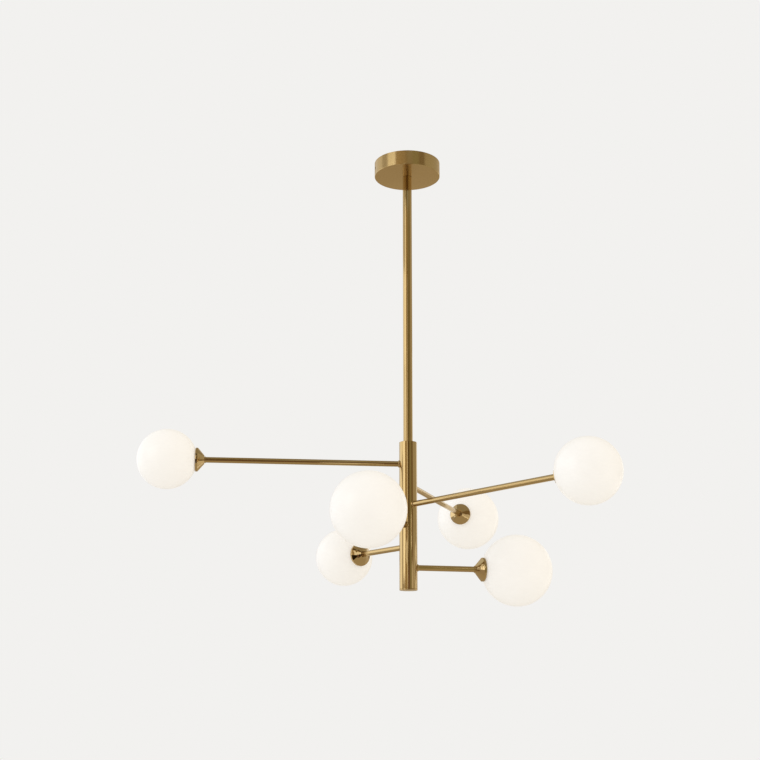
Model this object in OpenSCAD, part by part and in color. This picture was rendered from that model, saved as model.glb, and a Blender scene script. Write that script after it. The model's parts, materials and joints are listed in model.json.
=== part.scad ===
// Branch chandelier: a ceiling canopy, a straight stem and a short column with six arms at
// six heights, each ending in a conical cup, a push-in lamp and an opal glass globe.
// Millimetres. The origin is on the stem's axis in the ceiling plane, and +Z points up,
// so the whole fitting lies below zero. Arms are counted from the top of the column.

/* [Canopy] */
// Outer diameter of the canopy
canopy_d = 117; // [112:1:150]
// Depth of the canopy below the ceiling
canopy_h = 26; // [24:1:40]
// Sheet thickness of the canopy
canopy_wall = 1.2; // [0.8:0.1:1.8]
// Radius of the canopy's rounded lower edge
canopy_edge_r = 1; // [0.5:0.5:4]
// Gap round the stem in the canopy's hole
canopy_stem_gap = 0.4; // [0.3:0.1:1]
// Height of the side screws below the ceiling
side_screw_drop = 13; // [8:0.5:14]
// Thread diameter of the side screws
side_screw_d = 5; // [3:0.5:5]
// Wall round a side screw's thread
side_boss_wall = 1.5; // [1:0.25:2.5]
// How deep a side screw's outer end lies in its hole
side_screw_sink = 1.5; // [0.4:0.1:1.8]

/* [Ceiling bracket] */
// Width of the bracket's strap
strap_w = 25; // [22:1:32]
// Thickness of the strap
strap_t = 2; // [1.5:0.25:3]
// Depth of the middle of the strap below the ceiling
strap_drop = 14; // [13:0.5:15]
// Half length of the lowered middle
strap_mid = 14; // [12:0.5:16]
// Distance between the two ceiling slots
ceiling_screw_spacing = 86; // [84:1:88]
// Width of a ceiling slot
ceiling_slot_w = 4.5; // [4:0.25:6]
// Length of a ceiling slot
ceiling_slot_l = 9; // [7:0.5:10]
// Room between the bracket's ears and the canopy's wall
ear_room = 4.3; // [3:0.1:6]
// Height of an ear
ear_h = 18; // [16:0.5:20]
// Width of an ear
ear_w = 14; // [10:1:20]

/* [Hanger] */
// Outer diameter of the threaded nipple that carries the stem
nipple_d = 10; // [9:0.5:11]
// Bore of the nipple
nipple_bore = 6.4; // [5.8:0.1:7]
// Length of the nipple
nipple_l = 26; // [22:1:34]
// How far the nipple stands above the upper nut
nipple_stand = 1; // [0.5:0.5:2]
// Thickness of the upper nut
upper_nut_t = 4; // [3:0.5:5]
// Thickness of the lock nut under the strap
lock_nut_t = 3; // [2:0.5:4]
// Width across the flats of both nuts
nipple_nut_af = 14; // [13:0.5:17]

/* [Stem] */
// Outer diameter of the stem
stem_d = 16; // [15:0.5:18]
// Wall of the stem
stem_wall = 1.2; // [1:0.1:1.5]
// Length of stem that shows between canopy and column
stem_drop = 488; // [200:4:900]
// Length of the threaded bush in the stem's top
bush_l = 28; // [24:1:40]

/* [Column] */
// Outer diameter of the column
column_d = 30; // [29:0.5:36]
// Length of the column
column_l = 250; // [235:1:300]
// Wall of the column
column_wall = 1.5; // [1:0.25:2]
// Thickness of the plug in the column's top
top_plug_t = 12; // [8:1:16]
// Thickness of the ring nut under the top plug
ring_nut_t = 5; // [4:0.5:7]
// Thickness of the visible rim of the bottom cap
bottom_rim_t = 2; // [1:0.5:4]
// Depth of the bottom cap's plug inside the column
bottom_plug_t = 10; // [6:1:14]

/* [Arms] */
// Drop from the column's top to the first arm
first_arm_drop = 37.5; // [34:0.5:40]
// Height step from one arm to the next
arm_step = 35; // [30:0.5:36]
// Reach of the three long arms, from the column's axis to the globe's centre
long_reach = 405; // [300:5:500]
// Reach of the three short arms, from the column's axis to the globe's centre
short_reach = 188; // [170:1:220]
// Outer diameter of an arm
arm_d = 9.5; // [8.5:0.5:10.5]
// Wall of an arm
arm_wall = 1; // [0.8:0.1:1.2]
// Direction of arm 1
arm_1_turn = 175; // [170:1:180]
// Direction of arm 2
arm_2_turn = 61; // [58:1:64]
// Direction of arm 3
arm_3_turn = -62; // [-65:1:-59]
// Direction of arm 4
arm_4_turn = -121; // [-124:1:-118]
// Direction of arm 5
arm_5_turn = 115.5; // [113:0.5:118]
// Direction of arm 6
arm_6_turn = 1; // [-2:1:4]
// Diameter of the collar at an arm's root
collar_d = 12; // [12:0.5:14]
// How far a collar stands out from the column
collar_l = 2; // [1.5:0.5:6]
// Thickness of the nut inside the column at an arm's root
arm_nut_t = 3; // [2:0.5:3.5]

/* [Cups] */
// Diameter of a cup's rim
cup_d = 40; // [39:0.5:44]
// Depth of a cup from its rim to its neck
cup_depth = 17; // [16:0.5:20]
// Height of a cup's plain edge at the rim
cup_edge = 5; // [3:0.25:6]
// Diameter of a cup's neck
cup_neck_d = 12; // [11.5:0.5:13]
// Length of a cup's neck
cup_neck_l = 1; // [0.5:0.5:4]
// Depth of the socket that takes the globe's neck
cup_socket_depth = 7; // [6:0.25:7.5]
// Thickness of the nut that holds a cup
cup_nut_t = 3; // [2:0.25:3.5]
// Gap between a cup's front edge and its globe
cup_globe_gap = 1.2; // [0.5:0.1:2]
// Thickness of the soft ring under the globe's neck
gasket_t = 0.7; // [0.5:0.1:1.2]

/* [Globes] */
// Diameter of the larger globes
large_globe_d = 120; // [112:1:135]
// Diameter of the smaller globes
small_globe_d = 100; // [92:1:110]
// Wall of the opal glass
glass_wall = 2.2; // [1.8:0.1:3]
// Outer diameter of a globe's neck
globe_neck_d = 28.6; // [27:0.2:29]
// Wall of a globe's neck
globe_neck_wall = 2.3; // [2:0.1:2.5]

/* [Lamps] */
// Diameter of a lamp holder
holder_d = 18; // [17:0.5:19]
// Length of a lamp holder
holder_l = 18.8; // [17:0.1:22]
// Depth of the threaded hole in the holder's back
holder_bore_depth = 6.8; // [6:0.1:7.5]
// Depth of the recess in the holder's front
holder_recess = 3; // [2:0.5:4]
// Diameter of a bulb's glass
bulb_d = 13.6; // [13:0.2:14.4]
// Length of a bulb without its pins
bulb_l = 45; // [38:1:50]
// Diameter of a bulb's base
bulb_base_d = 13; // [12:0.25:13]
// Length of a bulb's base
bulb_base_l = 6; // [5:0.5:9]
// Distance between a bulb's two pins
pin_pitch = 9; // [8:0.5:10]
// Diameter of a pin
pin_d = 1.5; // [1:0.1:1.6]
// Length of a pin
pin_l = 5.5; // [4:0.25:6]

/* [Wiring] */
// Diameter of the cable in the stem
cable_d = 5; // [4.5:0.1:5.2]
// Diameter of a wire in the arms
arm_wire_d = 1.9; // [1.4:0.1:2]
// Distance between the two wires of an arm
arm_wire_pitch = 2.5; // [2.2:0.1:2.6]
// Distance of the arm wires from the column's axis
arm_wire_lane = 5.3; // [5:0.1:6]
// Diameter of a core between cable and terminals
core_d = 1.5; // [1:0.1:1.5]
// Diameter of the junction block in the column
junction_d = 20; // [17:1:24]
// Height of the junction block
junction_h = 11; // [8:0.5:12]
// Width of the terminal block along the strap
terminal_w = 17; // [16:0.5:18]
// Depth of the terminal block across the strap
terminal_depth = 14; // [12:1:18]
// Height of the terminal block
terminal_h = 11; // [10:0.5:12]
// Distance between the two poles
pole_pitch = 9; // [8.5:0.25:10]

/* [Fits] */
// Close gap between parts that screw or push together
close_gap = 0.05; // [0.03:0.01:0.1]
// Gap at a seat between parts that come apart
seat_gap = 0.3; // [0.2:0.05:0.5]

/* [Hidden] */
$fn = 64;

ARMS = [0:5];
satin_brass = "darkgoldenrod";
polished_brass = "goldenrod";
steel = "silver";
opal = "ivory";

// Cuts run past the faces that they open by this much
over = 1;

// Canopy and bracket, outwards from the stem's axis
canopy_r = canopy_d / 2;
canopy_in_r = canopy_r - canopy_wall;
ear_x = canopy_in_r - ear_room;
boss_gap = 0.4;
side_hex_depth = 1.8;
least_edge_r = 0.3;

// Hanger, downwards from the ceiling
strap_top_z = -strap_drop + strap_t;
nipple_top_z = strap_top_z + upper_nut_t + nipple_stand;
stem_top_z = -strap_drop - lock_nut_t - seat_gap;
cable_top_z = nipple_top_z + nipple_stand;

// Stem and column, downwards
stem_bore_r = stem_d / 2 - stem_wall;
column_top_z = -canopy_h - stem_drop;
column_bottom_z = column_top_z - column_l;
column_bore_r = column_d / 2 - column_wall;
plug_r = column_bore_r - close_gap;
ring_nut_wall = 3;
ring_nut_af = stem_d + 2 * ring_nut_wall;
past_nut = 1;
stem_bottom_z = column_top_z - top_plug_t - ring_nut_t - past_nut;
tube_end_z = column_bottom_z + bottom_rim_t;
junction_bottom_z = tube_end_z + bottom_plug_t;
junction_top_z = junction_bottom_z + junction_h;

// Arms: the first three are long, and small and large globes take turns
arm_turn = [arm_1_turn, arm_2_turn, arm_3_turn, arm_4_turn, arm_5_turn, arm_6_turn];
arm_z = [for (i = ARMS) column_top_z - first_arm_drop - i * arm_step];
reach = [for (i = ARMS) i < 3 ? long_reach : short_reach];
globe_r = [for (i = ARMS) (i % 2 == 0 ? small_globe_d : large_globe_d) / 2];
arm_hole_r = arm_d / 2 + close_gap;
arm_nut_wall = 1.5;
arm_nut_af = arm_d + 2 * arm_nut_wall;
arm_nut_face = sqrt(pow(column_bore_r, 2) - pow(arm_nut_af / 2, 2)) - close_gap;
arm_start = arm_nut_face - arm_nut_t - past_nut;

// Cup, holder, bulb and globe: distances from the rim's plane, plus is outwards
rim_at = [for (i = ARMS) reach[i] - sqrt(pow(globe_r[i], 2) - pow(cup_d / 2, 2))];
socket_floor = -cup_socket_depth;
globe_neck_end = socket_floor + gasket_t + seat_gap;
holder_back = socket_floor + cup_nut_t + seat_gap / 2;
holder_front = holder_back + holder_l;
thread_room = 1.5;
arm_end = holder_back + holder_bore_depth - thread_room;
wire_end = holder_back + holder_bore_depth;
recess_floor = holder_front - holder_recess;
bulb_back = recess_floor + seat_gap / 2;
cup_nut_wall = 2;
cup_nut_af = arm_d + 2 * cup_nut_wall;
rim_over = 2;

// Terminal block, under the bracket's right foot
terminal_room = 1.5;
terminal_x = strap_mid + strap_t + terminal_room + terminal_w / 2;
terminal_top_z = -strap_t;
core_depth = 6;
core_z = terminal_top_z - core_depth;
entry_r = 1.6;
clamp_r = 1.5;
terminal_web = 1;
fixing_r = 1.45;
fixing_head_r = 2.6;
fixing_head_depth = 2.5;
earth_x = -terminal_x;
earth_r = 1.95;
earth_head_r = 3.8;
lug_t = 0.8;
screw_inset = 0.3;

// ---------- shared shapes ----------

// Points of an arc, for outlines that are turned
function arc(x, y, r, from, to, steps) =
    [for (k = [0:steps]) let (a = from + (to - from) * k / steps) [x + r * cos(a), y + r * sin(a)]];

// Places children on arm i, with their own Z axis running outwards along the arm
module at_arm(i) {
    translate([0, 0, arm_z[i]]) rotate([0, 0, arm_turn[i]]) rotate([0, 90, 0]) children();
}

// The same place, with Z = 0 in the plane of the cup's rim
module at_rim(i) {
    at_arm(i) translate([0, 0, rim_at[i]]) children();
}

// Round bar between two heights
module bar(r, from, to) {
    translate([0, 0, from]) cylinder(r = r, h = to - from);
}

// Tube between two heights
module pipe(r, bore_r, from, to) {
    difference() {
        bar(r, from, to);
        bar(bore_r, from - over, to + over);
    }
}

// Six-sided nut between two heights, with its flats facing along Y
module hex_nut(af, hole_r, from, to) {
    difference() {
        translate([0, 0, from]) cylinder(r = af / 2 / cos(30), h = to - from, $fn = 6);
        bar(hole_r, from - over, to + over);
    }
}

// One straight length of wire between two points
module wire_run(a, b, d) {
    v = b - a;
    length = norm(v);
    tilt = acos(v[2] / length);
    turn = atan2(v[1], v[0]);
    translate(a) rotate([0, tilt, turn]) cylinder(d = d, h = length, $fn = 24);
}

// Wire along a path, with a round joint a little wider than the wire at each bend
module wire(path, d) {
    joint_d = d + 0.08;
    for (k = [0:len(path) - 2]) wire_run(path[k], path[k + 1], d);
    for (k = [1:len(path) - 2]) translate(path[k]) sphere(d = joint_d, $fn = 24);
}

// ---------- what is fixed to the ceiling ----------

module ceiling_slot(side) {
    half = (ceiling_slot_l - ceiling_slot_w) / 2;
    translate([side * ceiling_screw_spacing / 2, 0, -strap_t / 2]) {
        for (end = [-1, 1]) translate([end * half, 0, 0])
            cylinder(d = ceiling_slot_w, h = strap_t + 2 * over, center = true);
        cube([2 * half, ceiling_slot_w, strap_t + 2 * over], center = true);
    }
}

module ceiling_bracket() color(steel) difference() {
    union() {
        for (side = [0, 1]) mirror([side, 0, 0]) {
            translate([strap_mid, -strap_w / 2, -strap_t]) cube([ear_x - strap_mid, strap_w, strap_t]);
            translate([strap_mid, -strap_w / 2, -strap_drop]) cube([strap_t, strap_w, strap_drop]);
            translate([ear_x - strap_t, -ear_w / 2, -ear_h]) cube([strap_t, ear_w, ear_h]);
        }
        translate([-strap_mid, -strap_w / 2, -strap_drop]) cube([2 * strap_mid, strap_w, strap_t]);
    }
    bar(nipple_d / 2 + close_gap, -strap_drop - over, strap_top_z + over);
    for (side = [-1, 1]) ceiling_slot(side);
    translate([terminal_x, 0, 0]) bar(fixing_r + close_gap, -strap_t - over, over);
    translate([earth_x, 0, 0]) bar(earth_r + close_gap, -strap_t - over, over);
}

module hanger_nipple() color(steel) {
    pipe(nipple_d / 2, nipple_bore / 2, nipple_top_z - nipple_l, nipple_top_z);
}

module nipple_nuts() color(steel) {
    hole_r = nipple_d / 2 + close_gap;
    hex_nut(nipple_nut_af, hole_r, strap_top_z, strap_top_z + upper_nut_t);
    hex_nut(nipple_nut_af, hole_r, -strap_drop - lock_nut_t, -strap_drop);
}

// Places children at the two clamp screws of one row: -1 is the lamp's row, 1 the supply's
module at_clamps(row) {
    for (pole = [-1, 1])
        translate([terminal_x + pole * pole_pitch / 2, row * terminal_depth / 4, 0]) children();
}

module terminal_block() color("whitesmoke") difference() {
    bottom_z = terminal_top_z - terminal_h;
    translate([terminal_x - terminal_w / 2, -terminal_depth / 2, bottom_z])
        cube([terminal_w, terminal_depth, terminal_h]);
    for (pole = [-1, 1], side = [-1, 1]) translate([terminal_x + pole * pole_pitch / 2, 0, core_z])
        rotate([side * 90, 0, 0]) bar(entry_r, terminal_web / 2, terminal_depth / 2 + over);
    for (row = [-1, 1]) at_clamps(row) bar(clamp_r + close_gap, bottom_z - over, core_z);
    translate([terminal_x, 0, 0]) {
        bar(fixing_r + close_gap, bottom_z - over, terminal_top_z + over);
        bar(fixing_head_r + close_gap, bottom_z - over, bottom_z + fixing_head_depth);
    }
}

module terminal_screws() color(steel) {
    core_room = 0.1;
    clamp_inset = 0.4;
    clamp_slot = [4 * clamp_r, 0.5, 1];
    fixing_slot = [4 * fixing_head_r, 0.7, 1.4];
    fixing_point = 1;
    bottom_z = terminal_top_z - terminal_h;
    closed_tip_z = core_z - core_d / 2 - core_room;
    clamp_l = closed_tip_z - bottom_z - clamp_inset;
    for (row = [-1, 1]) at_clamps(row) {
        tip_z = row < 0 ? closed_tip_z : core_z - entry_r;
        difference() {
            bar(clamp_r, tip_z - clamp_l, tip_z);
            translate([0, 0, tip_z - clamp_l]) cube(clamp_slot, center = true);
        }
    }
    translate([terminal_x, 0, 0]) difference() {
        union() {
            bar(fixing_r, bottom_z + fixing_point, -screw_inset);
            bar(fixing_head_r, bottom_z + screw_inset, bottom_z + fixing_head_depth);
        }
        translate([0, 0, bottom_z + screw_inset]) cube(fixing_slot, center = true);
    }
}

module earth_screw() color(polished_brass) translate([earth_x, 0, 0]) difference() {
    head_t = 2.8;
    cross = [4.4, 0.9, 2.4];
    under_lug_z = -strap_t - close_gap - lug_t - close_gap;
    union() {
        bar(earth_r, under_lug_z - head_t / 2, -screw_inset);
        bar(earth_head_r, under_lug_z - head_t, under_lug_z);
    }
    for (turn = [0, 90]) rotate([0, 0, turn])
        translate([0, 0, under_lug_z - head_t]) cube(cross, center = true);
}

// Three cores from the cable's end to the terminals and the earth screw
module canopy_leads() {
    cover_t = 0.15;
    bend_room = 3.5;
    lead_step = 2.5;
    bare_end = 1;
    barrel_r = 1.4;
    barrel_l = 4.5;
    barrel_inset = 0.5;
    tongue_w = 3;
    tongue_lap = 0.5;
    row = cable_d / 2 - core_d / 2 - cover_t;
    high_z = nipple_top_z + bend_room;
    near_y = -strap_w / 2 - bend_room;
    far_y = near_y - lead_step;
    live_x = terminal_x - pole_pitch / 2;
    neutral_x = terminal_x + pole_pitch / 2;
    inside_y = -terminal_depth / 4 + bare_end;
    lug_top_z = -strap_t - close_gap;
    barrel_z = lug_top_z - barrel_r;
    barrel_y = -strap_w / 2 + barrel_inset;
    tongue_y = barrel_y + barrel_l - tongue_lap;
    color("saddlebrown") wire([[row, 0, cable_top_z], [row, 0, high_z], [row, near_y, high_z],
        [live_x, near_y, high_z], [live_x, near_y, core_z], [live_x, inside_y, core_z]], core_d);
    color("royalblue") wire([[0, 0, cable_top_z], [0, 0, high_z], [0, far_y, high_z],
        [neutral_x, far_y, high_z], [neutral_x, far_y, core_z], [neutral_x, inside_y, core_z]], core_d);
    color("yellowgreen") wire([[-row, 0, cable_top_z], [-row, 0, high_z], [-row, near_y, high_z],
        [earth_x, near_y, high_z], [earth_x, near_y, barrel_z],
        [earth_x, barrel_y + bare_end, barrel_z]], core_d);
    color(polished_brass) translate([earth_x, 0, 0]) {
        translate([0, barrel_y, barrel_z]) rotate([-90, 0, 0]) bar(barrel_r, 0, barrel_l);
        difference() {
            union() {
                bar(earth_head_r, lug_top_z - lug_t, lug_top_z);
                translate([-tongue_w / 2, tongue_y, lug_top_z - lug_t]) cube([tongue_w, -tongue_y, lug_t]);
            }
            bar(earth_r + 2 * close_gap, lug_top_z - lug_t - over, lug_top_z + over);
        }
    }
}

// ---------- the canopy and its side screws ----------

module canopy_outline() {
    hole_r = stem_d / 2 + canopy_stem_gap;
    edge = canopy_edge_r;
    in_edge = max(edge - canopy_wall, least_edge_r);
    polygon(concat(
        [[hole_r, -canopy_h]],
        arc(canopy_r - edge, edge - canopy_h, edge, -90, 0, 5),
        [[canopy_r, 0], [canopy_in_r, 0]],
        arc(canopy_in_r - in_edge, canopy_wall + in_edge - canopy_h, in_edge, 0, -90, 4),
        [[hole_r, canopy_wall - canopy_h]]));
}

// Places children on both side screws, with their own Z axis pointing outwards
module at_side_screws() {
    for (side = [0, 1]) mirror([side, 0, 0])
        translate([0, 0, -side_screw_drop]) rotate([0, 90, 0]) children();
}

module canopy() color(satin_brass) difference() {
    union() {
        rotate_extrude($fn = 96) canopy_outline();
        at_side_screws() bar(side_screw_d / 2 + side_boss_wall, ear_x + boss_gap + seat_gap,
            canopy_r - canopy_wall / 2);
    }
    at_side_screws() bar(side_screw_d / 2, ear_x - over, canopy_r + over);
}

// Headless screws with a hexagon socket in their outer end
module canopy_side_screws() color(steel) at_side_screws() difference() {
    outer_end = canopy_r - side_screw_sink;
    bar(side_screw_d / 2 - close_gap, ear_x + seat_gap, outer_end);
    translate([0, 0, outer_end - side_hex_depth])
        cylinder(d = side_screw_d / 2, h = side_hex_depth + over, $fn = 6);
}

// ---------- stem and column ----------

module stem_tube() color(satin_brass) pipe(stem_d / 2, stem_bore_r, stem_bottom_z, stem_top_z);

module stem_bush() color(polished_brass) difference() {
    bar(stem_bore_r - close_gap, stem_top_z - bush_l, stem_top_z);
    bar(nipple_d / 2 + close_gap, nipple_top_z - nipple_l - past_nut, stem_top_z + over);
    bar(nipple_bore / 2, stem_top_z - bush_l - over, stem_top_z);
}

module stem_cable() color("white") bar(cable_d / 2, junction_top_z, cable_top_z);

module column_top_plug() color(satin_brass)
    pipe(plug_r, stem_d / 2 + close_gap, column_top_z - top_plug_t, column_top_z);

module stem_ring_nut() color(polished_brass)
    hex_nut(ring_nut_af, stem_d / 2 + close_gap, column_top_z - top_plug_t - ring_nut_t,
        column_top_z - top_plug_t);

module column_tube() color(satin_brass) difference() {
    pipe(column_d / 2, column_bore_r, tube_end_z, column_top_z);
    for (i = ARMS) at_arm(i) bar(arm_hole_r, arm_nut_face, column_d / 2 + over);
}

module column_bottom_cap() color(satin_brass) {
    bar(column_d / 2, column_bottom_z, tube_end_z);
    bar(plug_r, tube_end_z, junction_bottom_z);
}

module junction_block() color("whitesmoke") bar(junction_d / 2, junction_bottom_z, junction_top_z);

// ---------- arms ----------

module arm_tube(i) color(satin_brass) at_arm(i)
    pipe(arm_d / 2, arm_d / 2 - arm_wall, arm_start, rim_at[i] + arm_end);

// Collar whose back is hollowed to sit on the round column
module arm_collar(i) color(polished_brass) difference() {
    at_arm(i) difference() {
        bar(collar_d / 2, column_bore_r, column_d / 2 + collar_l);
        bar(arm_hole_r, 0, column_d);
    }
    bar(column_d / 2 + close_gap, arm_z[i] - collar_d, arm_z[i] + collar_d);
}

module arm_nuts() color(polished_brass) for (i = ARMS) at_arm(i)
    hex_nut(arm_nut_af, arm_hole_r, arm_nut_face - arm_nut_t, arm_nut_face);

// Two wires to each arm: down the column, through the arm and into the lamp holder
module arm_wires() for (i = ARMS, side = [-1, 1]) {
    y = side * arm_wire_pitch / 2;
    drop = arm_z[i] - junction_top_z;
    color(side < 0 ? "saddlebrown" : "royalblue") at_arm(i)
        wire([[drop, y, arm_wire_lane], [0, y, arm_wire_lane], [0, y, rim_at[i] + wire_end]], arm_wire_d);
}

// ---------- cups, lamps and globes ----------

module cup(i) color(polished_brass) at_rim(i) difference() {
    union() {
        bar(cup_d / 2, -cup_edge, rim_over);
        translate([0, 0, -cup_depth])
            cylinder(r1 = cup_neck_d / 2, r2 = cup_d / 2, h = cup_depth - cup_edge);
        bar(cup_neck_d / 2, -cup_depth - cup_neck_l, -cup_depth);
    }
    bar(globe_neck_d / 2 + seat_gap, socket_floor, cup_depth);
    bar(arm_hole_r, -cup_depth - cup_neck_l - over, 0);
    translate([0, 0, reach[i] - rim_at[i]]) sphere(r = globe_r[i] + cup_globe_gap);
}

module cup_nuts() color(steel) for (i = ARMS) at_rim(i)
    hex_nut(cup_nut_af, arm_hole_r, socket_floor, socket_floor + cup_nut_t);

module globe_gaskets() color("gainsboro") for (i = ARMS) at_rim(i)
    pipe(globe_neck_d / 2, globe_neck_d / 2 - globe_neck_wall, socket_floor, socket_floor + gasket_t);

module lamp_holder(i) color("linen") at_rim(i) difference() {
    pin_room = 0.1;
    bar(holder_d / 2, holder_back, holder_front);
    bar(arm_hole_r, holder_back - over, wire_end);
    bar(bulb_base_d / 2 + seat_gap, recess_floor, holder_front + over);
    for (side = [-1, 1]) translate([0, side * pin_pitch / 2, 0])
        bar(pin_d / 2 + pin_room, recess_floor - pin_l, recess_floor + over);
}

// Outline of a bulb's base and glass, turned about its length
module bulb_outline() {
    r = bulb_d / 2;
    shoulder_rise = 1;
    shoulder = bulb_base_l + r - bulb_base_d / 2 + shoulder_rise;
    polygon(concat(
        [[0, 0], [bulb_base_d / 2, 0], [bulb_base_d / 2, bulb_base_l], [r, shoulder]],
        arc(0, bulb_l - r, r, 0, 90, 8)));
}

module bulb(i) color("floralwhite") at_rim(i) translate([0, 0, bulb_back]) {
    pin_end_room = 0.4;
    pin_root = 1;
    rotate_extrude() bulb_outline();
    for (side = [-1, 1]) translate([0, side * pin_pitch / 2, 0])
        bar(pin_d / 2, pin_end_room - pin_l, pin_root);
}

module globe(i) color(opal) at_rim(i) {
    centre = reach[i] - rim_at[i];
    difference() {
        union() {
            translate([0, 0, centre]) sphere(r = globe_r[i]);
            bar(globe_neck_d / 2, globe_neck_end, centre - globe_r[i] + 2 * globe_neck_wall);
        }
        translate([0, 0, centre]) sphere(r = globe_r[i] - glass_wall);
        bar(globe_neck_d / 2 - globe_neck_wall, globe_neck_end - over, centre);
    }
}

// ---------- the nodes ----------

ceiling_bracket();
hanger_nipple();
nipple_nuts();
terminal_block();
terminal_screws();
earth_screw();
canopy_leads();
canopy();
canopy_side_screws();
stem_tube();
stem_bush();
stem_cable();
column_top_plug();
stem_ring_nut();
column_tube();
column_bottom_cap();
junction_block();
arm_nuts();
arm_wires();
cup_nuts();
globe_gaskets();
for (i = ARMS) {
    arm_tube(i);
    arm_collar(i);
    cup(i);
    lamp_holder(i);
    bulb(i);
    globe(i);
}
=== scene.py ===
"""Branch chandelier: a canopy, a stem and a column with six arms, six cups and six globes.

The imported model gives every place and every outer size. This file gives the finishes, and
builds the pieces that need a finer mesh: the stem and the column with its ends, the collars,
the cups, the globes, the bulbs, and the leads with their lug in the canopy.
Lengths are in metres. Each arm's pieces are built about its own line and then put in place.
"""
import json
import math

import bmesh
import bpy
from bpy.props import FloatProperty, FloatVectorProperty, PointerProperty
from mathutils import Matrix, Vector


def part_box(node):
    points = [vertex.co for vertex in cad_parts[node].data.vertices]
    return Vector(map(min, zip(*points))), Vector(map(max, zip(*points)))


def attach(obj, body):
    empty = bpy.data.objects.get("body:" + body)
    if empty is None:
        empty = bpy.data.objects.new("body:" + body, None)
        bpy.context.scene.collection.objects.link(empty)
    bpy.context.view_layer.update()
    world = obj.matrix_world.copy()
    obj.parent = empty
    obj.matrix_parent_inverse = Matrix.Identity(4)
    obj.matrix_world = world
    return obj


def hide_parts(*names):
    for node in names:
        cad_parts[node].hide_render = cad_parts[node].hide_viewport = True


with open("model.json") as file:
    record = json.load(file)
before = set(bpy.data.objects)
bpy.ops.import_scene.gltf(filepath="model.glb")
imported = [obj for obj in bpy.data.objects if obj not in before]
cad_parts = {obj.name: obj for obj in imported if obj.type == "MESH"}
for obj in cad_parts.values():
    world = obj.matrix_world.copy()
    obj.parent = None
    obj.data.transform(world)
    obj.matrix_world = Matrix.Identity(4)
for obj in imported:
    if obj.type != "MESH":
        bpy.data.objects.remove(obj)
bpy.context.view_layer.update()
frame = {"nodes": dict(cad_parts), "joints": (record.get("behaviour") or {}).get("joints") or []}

bl_info = {
    "name": "Branch Chandelier",
    "version": (1, 0, 0),
    "blender": (4, 5, 0),
    "location": "View3D > Sidebar > Chandelier",
    "description": "Finishes and fine pieces of a six-arm chandelier with opal globes",
    "category": "Add Mesh",
}

NODES = frame["nodes"]
MM = 0.001


# ---------- measures taken from the frame ----------

def radius_about_z(node):
    """Outer radius of a CAD node that is round about the vertical axis through the origin."""
    low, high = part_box(node)
    return (high.x - low.x) / 2


class Arm:
    """One arm: its direction, its height and the distances along it that its pieces share."""

    def __init__(self, number):
        joint = next(j for j in frame["joints"] if j["name"] == f"globe_{number}_draw")
        self.number = number
        self.out = Vector(joint["axis"]).normalized()
        low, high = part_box(f"globe_{number}")
        self.globe_radius = (high.z - low.z) / 2
        self.height = (high.z + low.z) / 2
        self.reach = self.span(f"globe_{number}")[1] - self.globe_radius
        low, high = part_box(f"cup_{number}")
        self.cup_radius = (high.z - low.z) / 2
        self.rim = self.reach - math.sqrt(self.globe_radius ** 2 - self.cup_radius ** 2)
        self.turn = math.atan2(self.out.y, self.out.x)
        low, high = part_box(f"arm_tube_{number}")
        self.tube_radius = (high.z - low.z) / 2

    def span(self, node):
        """Least and greatest distance of a CAD node along the arm."""
        along = [v.co.dot(self.out) for v in NODES[node].data.vertices]
        return min(along), max(along)

    def place(self, distance):
        """Where a piece built about its own Z goes: Z outwards along the arm, X downwards."""
        turn = Matrix.Rotation(self.turn, 4, "Z") @ Matrix.Rotation(math.pi / 2, 4, "Y")
        return Matrix.Translation(self.out * distance + Vector((0, 0, self.height))) @ turn


ARMS = [Arm(number) for number in range(1, 7)]


# ---------- sizes and colours that a user would change ----------

def length(name, description, default):
    return FloatProperty(name=name, description=description, default=default, min=0.0,
                         subtype="DISTANCE", unit="LENGTH", precision=5)


def share(name, description, default):
    return FloatProperty(name=name, description=description, default=default, min=0.0, max=1.0,
                         subtype="FACTOR")


def colour(name, description, default):
    return FloatVectorProperty(name=name, description=description, default=default, size=3,
                               min=0.0, max=1.0, subtype="COLOR")


class BrassFinish(bpy.types.PropertyGroup):
    """Colours and gloss of the brass."""
    satin: colour("Satin brass", "Canopy, stem, column and arms", (0.60, 0.44, 0.21))
    polished: colour("Polished brass", "Cups and collars", (0.66, 0.49, 0.25))
    turned: colour("Turned brass", "Nuts and bushes that stay bare", (0.70, 0.53, 0.26))
    shade: colour("Shaded brass", "The darker tone that the brass drifts to", (0.40, 0.27, 0.11))
    satin_roughness: share("Satin roughness", "Roughness of the brushed tubes", 0.10)
    spun_roughness: share("Spun roughness", "Roughness of the spun canopy", 0.20)
    polished_roughness: share("Polished roughness", "Roughness of cups and collars", 0.07)
    turned_roughness: share("Turned roughness", "Roughness of bare turned parts", 0.24)


class GlassFinish(bpy.types.PropertyGroup):
    """Colours and gloss of the globes and bulbs."""
    opal: colour("Opal", "The globes' white", (0.86, 0.85, 0.83))
    opal_shade: colour("Opal shade", "The faint cloud in the opal", (0.82, 0.80, 0.77))
    # Glow and its strength paint light onto the globes: an even emission that makes them look lit,
    # though no lamp inside lights them
    glow: colour("Glow", "Light that the opal passes on", (1.0, 0.97, 0.91))
    painted_glow_strength: share("Glow strength", "How strongly the opal glows", 0.214)
    opal_roughness: share("Opal roughness", "Roughness of the satin opal", 0.38)
    clear: colour("Clear glass", "The bulbs' envelopes", (0.97, 0.98, 0.98))
    phosphor: colour("Phosphor", "The light chips inside a bulb", (0.93, 0.72, 0.16))


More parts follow.
